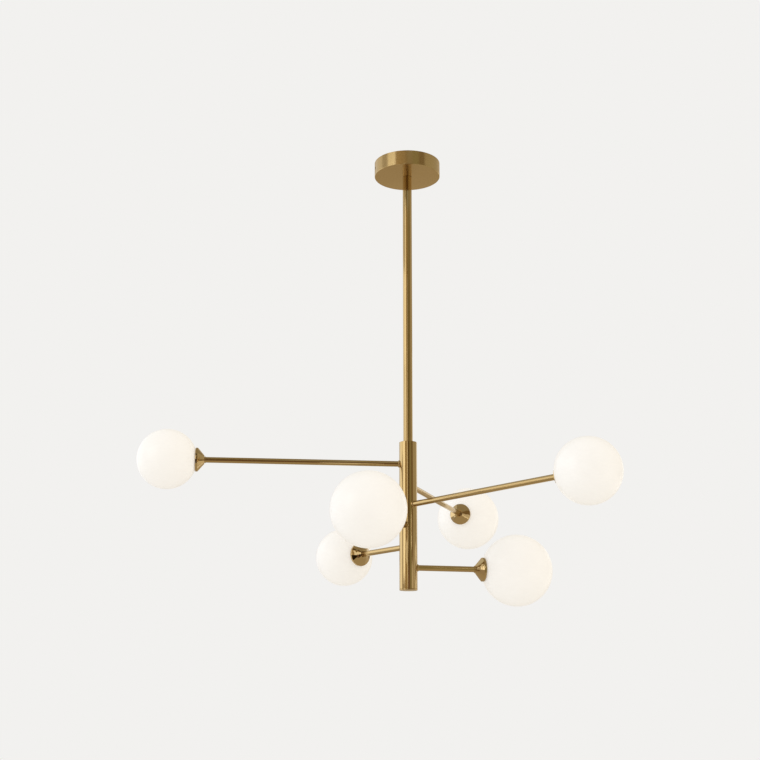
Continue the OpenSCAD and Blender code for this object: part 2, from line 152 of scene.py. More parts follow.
class SmallPartFinish(bpy.types.PropertyGroup):
    """Colours of the parts inside the canopy and the cups."""
    zinc: colour("Zinc", "Plated steel", (0.60, 0.61, 0.62))
    nylon: colour("Nylon", "Terminal and junction block", (0.82, 0.81, 0.77))
    ceramic: colour("Ceramic", "Lamp holders and bulb bases", (0.84, 0.82, 0.77))
    silicone: colour("Silicone", "Soft rings under the globes", (0.72, 0.72, 0.69))
    live: colour("Live", "Cover of the live lead", (0.16, 0.055, 0.022))
    neutral: colour("Neutral", "Cover of the neutral lead", (0.02, 0.09, 0.36))
    earth: colour("Earth", "First colour of the earth lead", (0.045, 0.30, 0.05))
    earth_stripe: colour("Earth stripe", "Second colour of the earth lead", (0.80, 0.68, 0.03))
    sheath: colour("Sheath", "Cover of the cable in the stem", (0.78, 0.77, 0.74))


class PieceSizes(bpy.types.PropertyGroup):
    """Sizes of the pieces that this file builds."""
    glass_wall: length("Glass wall", "Wall of a globe", 2.2 * MM)
    glass_ease: length("Glass ease", "How far the glass stays inside its place", 0.02 * MM)
    neck_radius: length("Neck radius", "Outer radius of a globe's neck", 14.3 * MM)
    neck_wall: length("Neck wall", "Wall of a globe's neck", 2.3 * MM)
    neck_depth: length("Neck depth", "How far the neck reaches behind the cup's rim", 6.0 * MM)
    cup_neck_radius: length("Cup neck radius", "Outer radius of a cup's neck", 6.0 * MM)
    cup_neck_length: length("Cup neck length", "Length of a cup's neck", 1.0 * MM)
    cup_depth: length("Cup depth", "From a cup's rim to its neck", 17.0 * MM)
    cup_edge: length("Cup edge", "Plain edge at a cup's rim", 5.0 * MM)
    socket_radius: length("Socket radius", "Socket for the globe's neck", 14.6 * MM)
    socket_depth: length("Socket depth", "Depth of that socket", 7.0 * MM)
    globe_gap: length("Globe gap", "Gap between a globe and its cup's edge", 1.2 * MM)
    groove_width: length("Groove width", "Groove between a cup's cone and neck", 1.4 * MM)
    groove_depth: length("Groove depth", "Depth of that groove under the neck", 0.8 * MM)
    column_wall: length("Column wall", "Wall of the column", 1.5 * MM)
    stem_wall: length("Stem wall", "Wall of the stem", 1.2 * MM)
    collar_round: length("Collar round", "Rounding of a collar's outer edge", 1.0 * MM)
    bulb_length: length("Bulb length", "A bulb without its pins", 45.0 * MM)
    bulb_radius: length("Bulb radius", "Outer radius of a bulb's envelope", 6.8 * MM)
    bulb_wall: length("Bulb wall", "Wall of a bulb's envelope", 0.7 * MM)
    bulb_base_radius: length("Bulb base radius", "Radius of a bulb's base", 6.5 * MM)
    bulb_base_length: length("Bulb base length", "Length of a bulb's base", 6.0 * MM)
    pin_radius: length("Pin radius", "Radius of a bulb's pin", 0.75 * MM)
    pin_pitch: length("Pin pitch", "Distance between a bulb's two pins", 9.0 * MM)
    pin_length: length("Pin length", "How far a pin stands out of a bulb's base", 5.1 * MM)
    lead_radius: length("Lead radius", "Radius of a lead's cover", 0.75 * MM)
    lead_bend: length("Lead bend", "Where a lead starts to bend before a corner", 2.4 * MM)
    close_gap: length("Close gap", "Gap between parts that screw together", 0.05 * MM)
    edge_round: length("Edge round", "Rounding of machined edges", 0.35 * MM)


class StageSettings(bpy.types.PropertyGroup):
    """Camera, light and background."""
    background: colour("Background", "Background and floor", (0.888, 0.880, 0.863))
    light_left: colour("Left light", "Soft light from the left", (0.92, 0.935, 0.96))
    light_right: colour("Right light", "Soft light from the right", (0.95, 0.87, 0.75))
    overhead_power: FloatProperty(name="Overhead power", description="Soft lamp above, in watts",
                                  default=2.6, min=0.0)
    camera_distance: length("Camera distance", "From the stem's axis, level", 2.1275)
    camera_drop: length("Camera drop", "Below the ceiling", 0.9637)
    floor_drop: length("Floor drop", "Floor below the ceiling", 2.6)


def settings(name):
    return getattr(bpy.context.scene, "chandelier_" + name)


# ---------- shader nodes ----------

class Signal:
    """One output of a shader node. Arithmetic on it adds Math nodes to the same tree."""

    def __init__(self, tree, socket):
        self.tree = tree
        self.socket = socket

    def math(self, operation, first, second):
        return self.tree.node("ShaderNodeMath", {"operation": operation}, {0: first, 1: second})

    def __add__(self, other):
        return self.math("ADD", self, other)

    def __radd__(self, other):
        return self.math("ADD", other, self)

    def __sub__(self, other):
        return self.math("SUBTRACT", self, other)

    def __rsub__(self, other):
        return self.math("SUBTRACT", other, self)

    def __mul__(self, other):
        return self.math("MULTIPLY", self, other)

    def __rmul__(self, other):
        return self.math("MULTIPLY", other, self)

    def __pow__(self, other):
        return self.math("POWER", self, other)

    def __gt__(self, other):
        return self.math("GREATER_THAN", self, other)


class Tree:
    """The node tree of a material or world that is being made."""

    def __init__(self, owner):
        owner.use_nodes = True
        self.owner = owner
        self.nodes = owner.node_tree.nodes
        self.links = owner.node_tree.links
        self.nodes.clear()

    def node(self, kind, options=None, values=None, output=0):
        """Adds a node: its options are set first, then the values or links of its sockets."""
        made = self.nodes.new(kind)
        for key, value in (options or {}).items():
            setattr(made, key, value)
        for key, value in (values or {}).items():
            if isinstance(value, Signal):
                self.links.new(value.socket, made.inputs[key])
            else:
                made.inputs[key].default_value = value
        return Signal(self, made.outputs[output]) if made.outputs else None

    def place(self):
        """The place on the piece, in metres, as the piece itself was built."""
        return self.node("ShaderNodeTexCoord", output="Object")

    def vector(self, operation, first, second=(0, 0, 0), output=0):
        return self.node("ShaderNodeVectorMath", {"operation": operation},
                         {0: first, 1: second}, output)

    def scaled(self, vector, factor):
        return self.node("ShaderNodeVectorMath", {"operation": "SCALE"},
                         {0: vector, "Scale": factor})

    def parts(self, vector):
        """A vector's x, y and z."""
        x = self.node("ShaderNodeSeparateXYZ", values={0: vector})
        outputs = x.socket.node.outputs
        return x, Signal(self, outputs[1]), Signal(self, outputs[2])

    def joined(self, x, y, z):
        return self.node("ShaderNodeCombineXYZ", values={0: x, 1: y, 2: z})

    def noise(self, vector, scale=1.0, detail=2.0):
        return self.node("ShaderNodeTexNoise",
                         values={"Vector": vector, "Scale": scale, "Detail": detail})

    def mix(self, factor, first, second):
        """A colour between two colours. Its sockets have numbers, as several share a name."""
        ends = [end if isinstance(end, Signal) else (*end, 1) for end in (first, second)]
        return self.node("ShaderNodeMix", {"data_type": "RGBA"},
                         {0: factor, 6: ends[0], 7: ends[1]}, output=2)

    def bump(self, height, distance):
        return self.node("ShaderNodeBump",
                         values={"Strength": 1.0, "Distance": distance, "Height": height})

    def surface(self, **sockets):
        """Ends a material with a Principled shader, whose sockets are named with underscores."""
        values = {key.replace("_", " "): value for key, value in sockets.items()}
        for key, value in values.items():
            if isinstance(value, tuple) and len(value) == 3:
                values[key] = (*value, 1)
        shader = self.node("ShaderNodeBsdfPrincipled", values=values)
        self.node("ShaderNodeOutputMaterial", values={"Surface": shader})
        return self.owner


def finish(name, make, *values):
    """The material of that name, made on its first use by make(tree, *values)."""
    found = bpy.data.materials.get(name)
    return found or make(Tree(bpy.data.materials.new(name)), *values)


# ---------- finishes ----------

UPRIGHT = (0, 0, 1)
# Depths of the surface marks, from grain to threads
OPAL_GRAIN, FINE_GRAIN, COARSE_GRAIN = 0.006 * MM, 0.01 * MM, 0.02 * MM
BRUSHED_DEPTH, POLISHED_DEPTH, TURNED_DEPTH = 0.0015 * MM, 0.0006 * MM, 0.01 * MM
BUFFED_SWELL, THREAD_DEPTH = 0.45 * MM, 0.05 * MM


def lines_along(tree, place, grain):
    """A place stretched so that noise at it draws fine lines along a direction."""
    fine, coarse = 1500.0, 12.0
    along = tree.vector("DOT_PRODUCT", place, tuple(grain), output="Value")
    back = tree.scaled(tuple(grain), along * (coarse - fine))
    return tree.vector("ADD", tree.scaled(place, fine), back)


def lines_around(tree, place, axis):
    """A place stretched so that noise at it draws fine rings about an axis."""
    fine, coarse, slant = 1800.0, 12.0, (0.5, 0.6, 0.7)
    along = tree.vector("DOT_PRODUCT", place, tuple(axis), output="Value")
    across = tree.vector("SUBTRACT", place, tree.scaled(tuple(axis), along))
    from_axis = tree.vector("LENGTH", across, output="Value")
    turn = tree.vector("DOT_PRODUCT", across, slant, output="Value")
    return tree.joined(from_axis * fine, turn * coarse, along * fine)


def brass(tree, base, roughness, stretch, line_depth, swell_depth=0.0):
    """Brass with fine tool lines, a slow drift of tone and faint marks of handling or buffing."""
    drift_tone, line_tone, line_gloss, mark_gloss = 0.4, 0.16, 0.06, 0.05
    shade = tuple(settings("brass").shade)
    place = tree.place()
    lines = tree.noise(stretch(tree, place), detail=2.0)
    drift = tree.noise(place, scale=11.0, detail=2.0)
    marks = tree.noise(place, scale=70.0, detail=4.0)
    height = lines * line_depth
    if swell_depth:
        height += tree.noise(place, scale=120.0, detail=1.0) * swell_depth
    toned = tree.mix(drift * drift_tone, tuple(base), shade)
    lined = tree.mix(lines * line_tone, toned, shade)
    return tree.surface(
        Base_Color=lined, Metallic=1.0, IOR=1.5,
        Roughness=roughness + (lines - 0.5) * line_gloss + (marks - 0.5) * mark_gloss,
        Normal=tree.bump(height, 1.0))


def directed(name, direction, lines, base, roughness, line_depth, swell_depth=0.0):
    """Brass whose lines follow, or go round, a direction, which its name holds in hundredths."""
    name = "{}_{:.0f}_{:.0f}_{:.0f}".format(name, *(100 * value for value in direction))
    return finish(name, brass, base, roughness,
                  lambda tree, place: lines(tree, place, direction), line_depth, swell_depth)


def satin_brass(grain):
    """Satin brass brushed along a direction."""
    brasses = settings("brass")
    return directed("satin_brass", grain, lines_along, brasses.satin,
                    brasses.satin_roughness, BRUSHED_DEPTH)


def spun_brass():
    """Satin brass brushed in rings, as on a spun canopy."""
    brasses = settings("brass")
    return directed("spun_brass", UPRIGHT, lines_around, brasses.satin,
                    brasses.spun_roughness, BRUSHED_DEPTH)


def polished_brass(axis):
    """Polished brass with the faintest rings of its turning and the swell of buffing."""
    brasses = settings("brass")
    return directed("polished_brass", axis, lines_around, brasses.polished,
                    brasses.polished_roughness, POLISHED_DEPTH, BUFFED_SWELL)


def turned_brass():
    """Bare brass as it comes from the lathe."""
    brasses = settings("brass")
    return directed("turned_brass", UPRIGHT, lines_around, brasses.turned,
                    brasses.turned_roughness, TURNED_DEPTH)


def make_zinc(tree, ribs):
    """Zinc-plated steel with a fine spangle, and threads along the axis that ribs names."""
    dullest, spangle_height, thread_scale = 0.72, 0.2, 160.0
    place = tree.place()
    spangle = tree.node("ShaderNodeTexVoronoi", values={"Vector": place, "Scale": 900.0},
                        output="Distance")
    cloud = tree.noise(place, scale=120.0, detail=3.0)
    zinc = tuple(settings("small").zinc)
    dull = tuple(dullest * value for value in zinc)
    height = spangle * spangle_height
    if ribs:
        wave = tree.node("ShaderNodeTexWave", {"bands_direction": ribs, "wave_profile": "TRI"},
                         {"Vector": place, "Scale": thread_scale})
        height = wave + height * 0.1
    depth = THREAD_DEPTH if ribs else FINE_GRAIN
    return tree.surface(
        Base_Color=tree.mix(cloud * 0.8, zinc, dull), Metallic=1.0,
        Roughness=0.30 + cloud * 0.2, Normal=tree.bump(height, depth))


def zinc(ribs=""):
    return finish("zinc_steel" + ("_thread_" + ribs.lower() if ribs else "_plain"), make_zinc, ribs)


def make_moulded(tree, base, roughness, grain_scale, grain_depth=FINE_GRAIN):
    """Moulded or glazed part: one tone with a faint cloud and a fine surface grain."""
    place = tree.place()
    cloud = tree.noise(place, scale=60.0, detail=3.0)
    grain = tree.noise(place, scale=grain_scale, detail=3.0)
    shade = tuple(0.86 * value for value in base)
    return tree.surface(
        Base_Color=tree.mix(cloud * 0.6, tuple(base), shade),
        Roughness=roughness + (cloud - 0.5) * 0.12, Normal=tree.bump(grain, grain_depth))


def make_opal(tree):
    """Opal glass: a satin white skin over a milky body, with a painted glow: an even emission that
    brightens it as if light came through.
    """
    glass = settings("glass")
    place = tree.place()
    cloud = tree.noise(place, scale=22.0, detail=3.0)
    skin = tree.noise(place, scale=700.0, detail=2.0)
    # Painted glow: an emission colour, faintly clouded, that lights the globes with no lamp behind
    # them
    glow = tree.mix(cloud * 0.5, tuple(glass.glow), tuple(glass.opal_shade))
    return tree.surface(
        Base_Color=tree.mix(cloud * 0.6, tuple(glass.opal), tuple(glass.opal_shade)),
        Roughness=glass.opal_roughness + (cloud - 0.5) * 0.08,
        Specular_IOR_Level=0.4, Emission_Color=glow, Emission_Strength=glass.painted_glow_strength,
        Normal=tree.bump(skin, OPAL_GRAIN))


def make_clear_glass(tree):
    """Clear glass with faint handling haze."""
    place = tree.place()
    haze = tree.noise(place, scale=180.0, detail=3.0)
    return tree.surface(
        Base_Color=tuple(settings("glass").clear), Transmission_Weight=1.0, IOR=1.45,
        Roughness=0.02 + haze * 0.06)


def make_phosphor(tree):
    """The yellow, slightly glowing face of a bulb's light chips."""
    place = tree.place()
    grain = tree.noise(place, scale=900.0, detail=3.0)
    base = tuple(settings("glass").phosphor)
    return tree.surface(
        Base_Color=tree.mix(grain * 0.4, base, tuple(0.8 * value for value in base)),
        Roughness=0.5 + (grain - 0.5) * 0.2, Emission_Color=base, Emission_Strength=0.35,
        Normal=tree.bump(grain, COARSE_GRAIN))


# ---------- meshes ----------

ARC_STEPS = 6
# Segments round a turned piece, by its size
WIDE, PLAIN, NARROW, SMALL = 128, 64, 48, 24
# Angles in degrees above which an edge stays sharp
SHARP_TURNED, SHARP_BLOCK, SHARP_LEAD = 32, 40, 50


def rounded(corners):
    """Outline through corners (x, y) or (x, y, radius); a corner with a radius becomes an arc."""
    points = []
    for index, corner in enumerate(corners):
        here = Vector(corner[:2])
        if len(corner) < 3:
            points.append(here)
            continue
        back = (Vector(corners[index - 1][:2]) - here).normalized()
        ahead = (Vector(corners[(index + 1) % len(corners)][:2]) - here).normalized()
        half = back.angle(ahead) / 2
        centre = here + (back + ahead).normalized() * (corner[2] / math.sin(half))
        start = here + back * (corner[2] / math.tan(half)) - centre
        end = here + ahead * (corner[2] / math.tan(half)) - centre
        sweep = math.atan2(start.x * end.y - start.y * end.x, start.dot(end))
        for step in range(ARC_STEPS + 1):
            points.append(centre + Matrix.Rotation(sweep * step / ARC_STEPS, 2) @ start)
    return points


def arc(centre, radius, start, end, steps):
    """Points (x, y) of an arc about a point on the Y axis, from one angle to another."""
    angles = [start + (end - start) * step / steps for step in range(steps + 1)]
    return [Vector((radius * math.cos(a), centre + radius * math.sin(a))) for a in angles]


def mesh_of(name, vertices, faces, sharp=SHARP_TURNED):
    """A mesh with outward normals and smooth shading up to an angle between faces."""
    mesh = bpy.data.meshes.new(name)
    mesh.from_pydata(vertices, [], faces)
    cleaned = bmesh.new()
    cleaned.from_mesh(mesh)
    bmesh.ops.recalc_face_normals(cleaned, faces=cleaned.faces)
    cleaned.to_mesh(mesh)
    cleaned.free()
    mesh.shade_smooth()
    mesh.set_sharp_from_angle(angle=math.radians(sharp))
    return mesh


def turned(name, outline, segments=96, closed=True):
    """A mesh made by turning an outline of (radius, height) points about Z."""
    vertices, rings = [], []
    for radius, height in outline:
        first = len(vertices)
        if radius < 1e-7:
            vertices.append((0.0, 0.0, height))
            rings.append([first] * segments)
            continue
        for step in range(segments):
            angle = 2 * math.pi * step / segments
            vertices.append((radius * math.cos(angle), radius * math.sin(angle), height))
        rings.append(list(range(first, first + segments)))
    faces = []
    for low, high in zip(rings, rings[1:] + (rings[:1] if closed else [])):
        for step in range(segments):
            after = (step + 1) % segments
            face = list(dict.fromkeys((low[step], low[after], high[after], high[step])))
            if len(face) > 2:
                faces.append(face)
    return mesh_of(name, vertices, faces)


def swept(name, path, radius, sides=16, striped=False):
    """A round lead along a path, with closed ends; half of a striped one has a second finish."""
    path = [Vector(point) for point in path]
    side = None
    vertices, faces = [], []
    for index, point in enumerate(path):
        ahead = (path[min(index + 1, len(path) - 1)] - path[max(index - 1, 0)]).normalized()
        side = (ahead.orthogonal() if side is None else side - ahead * side.dot(ahead)).normalized()
        other = ahead.cross(side)
        for step in range(sides):
            angle = 2 * math.pi * step / sides
            vertices.append(point + radius * (side * math.cos(angle) + other * math.sin(angle)))
        if index:
            start = (index - 1) * sides
            for step in range(sides):
                after = (step + 1) % sides
                faces.append((start + step, start + after, start + sides + after,
                              start + sides + step))
    faces.append(tuple(range(sides)))
    faces.append(tuple(range(len(vertices) - sides, len(vertices))))
    mesh = mesh_of(name, vertices, faces, SHARP_LEAD)
    if striped:
        for face in mesh.polygons[:-2]:
            face.material_index = int(face.index % sides < sides // 2)
    return mesh


def bent(corners, bend):
    """A path through corners, each rounded by a curve that starts one bend before it."""
    points = [Vector(corners[0])]
    for before, here, after in zip(corners, corners[1:], corners[2:]):
        before, here, after = Vector(before), Vector(here), Vector(after)
        start = here + (before - here).normalized() * min(bend, (before - here).length / 2)
        end = here + (after - here).normalized() * min(bend, (after - here).length / 2)
        for step in range(ARC_STEPS + 1):
            t = step / ARC_STEPS
            points.append(start * (1 - t) ** 2 + here * 2 * t * (1 - t) + end * t * t)
    return points + [Vector(corners[-1])]


def chamfered_block(name, size, chamfer):
    """A block about the origin with its edges taken off."""
    block = bmesh.new()
    bmesh.ops.create_cube(block, size=1.0)
    bmesh.ops.scale(block, vec=size, verts=block.verts)
    bmesh.ops.bevel(block, geom=block.edges[:], offset=chamfer, segments=2, profile=0.7,
                    affect="EDGES")
    mesh = bpy.data.meshes.new(name)
    block.to_mesh(mesh)
    block.free()
    mesh.shade_smooth()
    mesh.set_sharp_from_angle(angle=math.radians(SHARP_BLOCK))
    return mesh


def moved(mesh, place):
    """The mesh, moved to a place given as a matrix or an offset."""
    mesh.transform(place if isinstance(place, Matrix) else Matrix.Translation(place))
    return mesh


def together(name, meshes):
    """One mesh of several."""
    whole = bmesh.new()
    for mesh in meshes:
        whole.from_mesh(mesh)
        bpy.data.meshes.remove(mesh)
    mesh = bpy.data.meshes.new(name)
    whole.to_mesh(mesh)
    whole.free()
    return mesh


def add_piece(name, mesh, place, body, material, stands_for=(), second=None):
    """Puts a piece in its place on a body, in its finish. Its turn goes into its mesh."""
    middle = place.translation.copy()
    mesh.transform(Matrix.Translation(-middle) @ place)
    mesh.materials.append(material)
    if second:
        mesh.materials.append(second)
    piece = bpy.data.objects.new(name, mesh)
    bpy.context.scene.collection.objects.link(piece)
    piece.location = middle
    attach(piece, body)
    if stands_for:
        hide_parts(*stands_for)
    return piece


def give(material, *nodes):
    """Gives CAD nodes their finish."""
    for node in nodes:
        NODES[node].material_slots[0].material = material


# ---------- the pieces ----------

class CHANDELIER_OT_canopy(bpy.types.Operator):
    """Finish the canopy and its side screws"""
    bl_idname = "chandelier.canopy"
    bl_label = "Canopy"

    def execute(self, context):
        give(spun_brass(), "canopy")
        give(zinc("X"), "canopy_side_screws")
        return {"FINISHED"}


def tube_mesh(name, outer, inner, low, high, edge, inner_edge, segments=WIDE):
    """A tube about Z between two heights, with rounded edges."""
    return turned(name, rounded([
        (inner, low, inner_edge), (outer, low, edge), (outer, high, edge),
        (inner, high, inner_edge)]), segments)


def foot_mesh(outer, plug, low, seam, high, edge):
    """The column's cap: a rim as wide as the column, and a plug inside it."""
    return turned("foot", rounded([
        (0.0, low), (outer, low, 1.5 * edge), (outer, seam, edge), (plug, seam),
        (plug, high, edge), (0.0, high)]), WIDE)


class CHANDELIER_OT_stem_and_column(bpy.types.Operator):
    """Build the stem, the column, its plug and its cap, and finish the parts inside them"""
    bl_idname = "chandelier.stem_and_column"
    bl_label = "Stem and column"

    def execute(self, context):
        sizes = settings("sizes")
        edge, gap = sizes.edge_round, sizes.close_gap
        heights = {node: [corner.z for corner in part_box(node)] for node in
                   ("stem_tube", "column_tube", "column_top_plug", "column_bottom_cap")}
        stem, column = radius_about_z("stem_tube"), radius_about_z("column_tube")
        bore = column - sizes.column_wall
        low, high = heights["column_bottom_cap"]
        meshes = {
            "stem_tube": tube_mesh("stem", stem, stem - sizes.stem_wall,
                                   *heights["stem_tube"], edge, edge / 2),
            "column_tube": tube_mesh("column", column, bore,
                                     *heights["column_tube"], edge, edge / 2),
            "column_top_plug": tube_mesh("plug", bore - gap, stem + gap,
                                         *heights["column_top_plug"], edge, edge / 2),
            "column_bottom_cap": foot_mesh(column, bore - gap, low,
                                           heights["column_tube"][0], high, edge),
        }
        for node, mesh in meshes.items():
            upright = node.endswith("_tube")
            add_piece(node + "_shell", mesh, Matrix.Identity(4), "pendant",
                      satin_brass(UPRIGHT) if upright else spun_brass(), [node])
        give(turned_brass(), "stem_bush", "stem_ring_nut")
        return {"FINISHED"}


def collar_mesh(arm, sizes):
    """A collar whose back follows the round column."""
    node = f"arm_collar_{arm.number}"
    low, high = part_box(node)
    radius = (high.z - low.z) / 2
    bore = arm.tube_radius + sizes.close_gap
    back = radius_about_z("column_tube") + sizes.close_gap
    front = arm.span(node)[1]
    mesh = turned("collar", rounded([
        (bore, back), (radius, back), (radius, front, sizes.collar_round),
        (bore, front, sizes.edge_round / 4)]), PLAIN)
    for vertex in mesh.vertices:
        if vertex.co.z < back + 0.1 * sizes.edge_round:
            vertex.co.z = math.sqrt(back ** 2 - vertex.co.y ** 2)
    return mesh


class CHANDELIER_OT_arms(bpy.types.Operator):
    """Finish the six arms and build the collars at their roots"""
    bl_idname = "chandelier.arms"
    bl_label = "Arms"

    def execute(self, context):
        sizes = settings("sizes")
        for arm in ARMS:
            give(satin_brass(arm.out), f"arm_tube_{arm.number}")
            add_piece(f"collar_{arm.number}", collar_mesh(arm, sizes), arm.place(0), "pendant",
                      polished_brass(arm.out),
                      [f"arm_collar_{arm.number}"])
        give(turned_brass(), "arm_nuts")
        return {"FINISHED"}


def cup_mesh(arm, sizes):
    """A cone with a rounded rim, hollowed to the globe, with a socket for the globe's neck."""
    rim, neck, socket = arm.cup_radius, sizes.cup_neck_radius, sizes.socket_radius
    bore = arm.tube_radius + sizes.close_gap
    hollow = arm.globe_radius + sizes.globe_gap
    seat = arc(arm.reach - arm.rim, hollow, -math.acos(rim / hollow),
               -math.acos(socket / hollow), 8)
    neck_back = -sizes.cup_depth - sizes.cup_neck_length
    slope = (rim - neck) / (sizes.cup_depth - sizes.cup_edge)
    groove_back = neck_back + 0.6 * sizes.cup_neck_length
    cone_back = groove_back + sizes.groove_width
    cone_start = neck + slope * (cone_back + sizes.cup_depth)
    floor, edge = neck - sizes.groove_depth, sizes.edge_round
    outer = rounded([
        (bore, neck_back, edge / 4), (neck, neck_back, edge / 2), (neck, groove_back, edge / 4),
        (floor, groove_back), (floor, cone_back), (cone_start, cone_back, edge / 2),
        (rim, -sizes.cup_edge, 2 * edge), (rim, seat[0].y, edge), tuple(seat[1])])[:-1]
    inner = rounded([(socket, -sizes.socket_depth), (bore, -sizes.socket_depth)])
    return turned("cup", outer + seat[1:] + inner)


class CHANDELIER_OT_cups(bpy.types.Operator):
    """Build the six cups, and finish the nuts and soft rings in them"""
    bl_idname = "chandelier.cups"
    bl_label = "Cups"

    def execute(self, context):
        small = settings("small")
        for arm in ARMS:
            add_piece(f"cup_cone_{arm.number}", cup_mesh(arm, settings("sizes")),
                      arm.place(arm.rim), "pendant", polished_brass(arm.out),
                      [f"cup_{arm.number}"])
        give(zinc(), "cup_nuts")
        give(finish("silicone_ring", make_moulded, small.silicone, 0.5, 900.0),
             "globe_gaskets")
        return {"FINISHED"}


def globe_mesh(arm, sizes):
    """A blown globe: its outer skin, a neck with a rounded lip, and its inner skin."""
    centre = arm.reach - arm.rim
    outer = arm.globe_radius - sizes.glass_ease
    inner = outer - sizes.glass_wall
    neck, bore = sizes.neck_radius, sizes.neck_radius - sizes.neck_wall
    steps, lip_round = 64, 0.45 * sizes.neck_wall
    skin = arc(centre, outer, math.pi / 2, -math.acos(neck / outer), steps)
    inside = arc(centre, inner, -math.acos(bore / inner), math.pi / 2, steps)
    lip = rounded([tuple(skin[-1]), (neck, -sizes.neck_depth, lip_round),
                   (bore, -sizes.neck_depth, lip_round), tuple(inside[0])])[1:-1]
    skin[0].x = inside[-1].x = 0.0
    return turned("globe", skin + lip + inside, WIDE, closed=False)


class CHANDELIER_OT_globes(bpy.types.Operator):
    """Build the six opal globes"""
    bl_idname = "chandelier.globes"
    bl_label = "Globes"

    def execute(self, context):
        for arm in ARMS:
            add_piece(f"opal_globe_{arm.number}", globe_mesh(arm, settings("sizes")),
                      arm.place(arm.rim), f"globe_{arm.number}",
                      finish("opal_glass_satin", make_opal),
                      [f"globe_{arm.number}"])
        return {"FINISHED"}


def envelope_mesh(sizes):
    """A bulb's thin envelope: a shoulder out of the base, a straight tube and a round tip."""
    outer, wall = sizes.bulb_radius, sizes.bulb_wall
    foot, waist = sizes.bulb_base_length, sizes.bulb_base_radius - 2 * sizes.edge_round
    shoulder_height, straight = 1.3 * MM, sizes.bulb_length - outer
    shoulder = foot + shoulder_height
    skin = arc(straight, outer, 0, math.pi / 2, 16)
    inside = arc(straight, outer - wall, math.pi / 2, 0, 16)
    skin[-1].x = inside[0].x = 0.0
    low = rounded([(waist - wall, foot), (waist, foot), (outer, shoulder, 2 * wall),
                   (outer, straight)])
    back = rounded([(outer - wall, straight), (outer - wall, shoulder + wall, wall),
                    (waist - wall, foot)])[:-1]
    return turned("envelope", low[:-1] + skin + inside + back[1:], NARROW)


def lamp_body_mesh(sizes):
    """A bulb's ceramic base, with the thin board that stands in its envelope."""
    radius, height = sizes.bulb_base_radius, sizes.bulb_base_length
    board_size, board_edge, board_middle = (1.0 * MM, 8.4 * MM, 32.0 * MM), 0.2 * MM, 15.0 * MM
    base = turned("base", rounded([
        (0.0, 0.0), (radius, 0.0, sizes.edge_round), (radius, height, 2 * sizes.edge_round),
        (0.0, height)]), NARROW)
    board = chamfered_block("board", board_size, board_edge)
    return together("lamp_body", [base, moved(board, (0, 0, height + board_middle))])


def chips_mesh(sizes):
    """The light chips of a bulb, two rows on each face of its board."""
    size, edge, rows = (0.6 * MM, 2.8 * MM, 2.4 * MM), 0.12 * MM, 8
    out, across, pitch = 0.75 * MM, 1.9 * MM, 3.4 * MM
    first = sizes.bulb_base_length + 4.0 * MM
    places = [(face * out, side * across, first + row * pitch)
              for row in range(rows) for face in (-1, 1) for side in (-1, 1)]
    return together("chips", [moved(chamfered_block("chip", size, edge), place)
                              for place in places])


def pins_mesh(sizes):
    """A bulb's two pins, with round ends."""
    radius, end = sizes.pin_radius, -sizes.pin_length
    outline = rounded([(0.0, end), (radius, end, 0.6 * radius), (radius, sizes.edge_round),
                       (0.0, sizes.edge_round)])
    return together("pins", [
        moved(turned("pin", outline, SMALL), (0, side * sizes.pin_pitch / 2, 0))
        for side in (-1, 1)])


class CHANDELIER_OT_lamps(bpy.types.Operator):
    """Finish the lamp holders, and build the bulbs"""
    bl_idname = "chandelier.lamps"
    bl_label = "Lamps"

    def execute(self, context):
        small, sizes = settings("small"), settings("sizes")
        ceramic = finish("glazed_ceramic", make_moulded, small.ceramic, 0.22, 500.0)
        for arm in ARMS:
            node = body = f"bulb_{arm.number}"
            place = arm.place(arm.span(node)[1] - sizes.bulb_length)
            give(ceramic, f"lamp_holder_{arm.number}")
            add_piece(f"{node}_envelope", envelope_mesh(sizes), place, body,
                      finish("clear_glass", make_clear_glass), [node])
            add_piece(f"{node}_base", lamp_body_mesh(sizes), place, body, ceramic)
            add_piece(f"{node}_chips", chips_mesh(sizes), place, body,
                      finish("light_chips", make_phosphor))
            add_piece(f"{node}_pins", pins_mesh(sizes), place, body, zinc())
        return {"FINISHED"}


class CHANDELIER_OT_ceiling_hardware(bpy.types.Operator):
    """Finish the bracket, the hanger, the terminal block and the screws"""
    bl_idname = "chandelier.ceiling_hardware"
    bl_label = "Ceiling hardware"

    def execute(self, context):
        small = settings("small")
        give(zinc(), "ceiling_bracket", "nipple_nuts", "terminal_screws")
        give(zinc("Z"), "hanger_nipple")
        give(turned_brass(), "earth_screw")
        give(finish("moulded_nylon", make_moulded, small.nylon, 0.40, 800.0, COARSE_GRAIN),
             "terminal_block", "junction_block")
        return {"FINISHED"}


# Corners of the three leads, in millimetres, from the cable's end to their terminals
LEADS = {
    "live": [(1.6, 0, -6), (1.6, 0, -3.5), (1.6, -16, -3.5), (21.5, -16, -3.5),
             (21.5, -16, -8), (21.5, -2.5, -8)],
    "neutral": [(0, 0, -6), (0, 0, -3.5), (0, -18.5, -3.5), (30.5, -18.5, -3.5),
                (30.5, -18.5, -8), (30.5, -2.5, -8)],
    "earth": [(-1.6, 0, -6), (-1.6, 0, -3.5), (-1.6, -16, -3.5), (-26, -16, -3.48),
              (-26, -11, -3.45)],
}


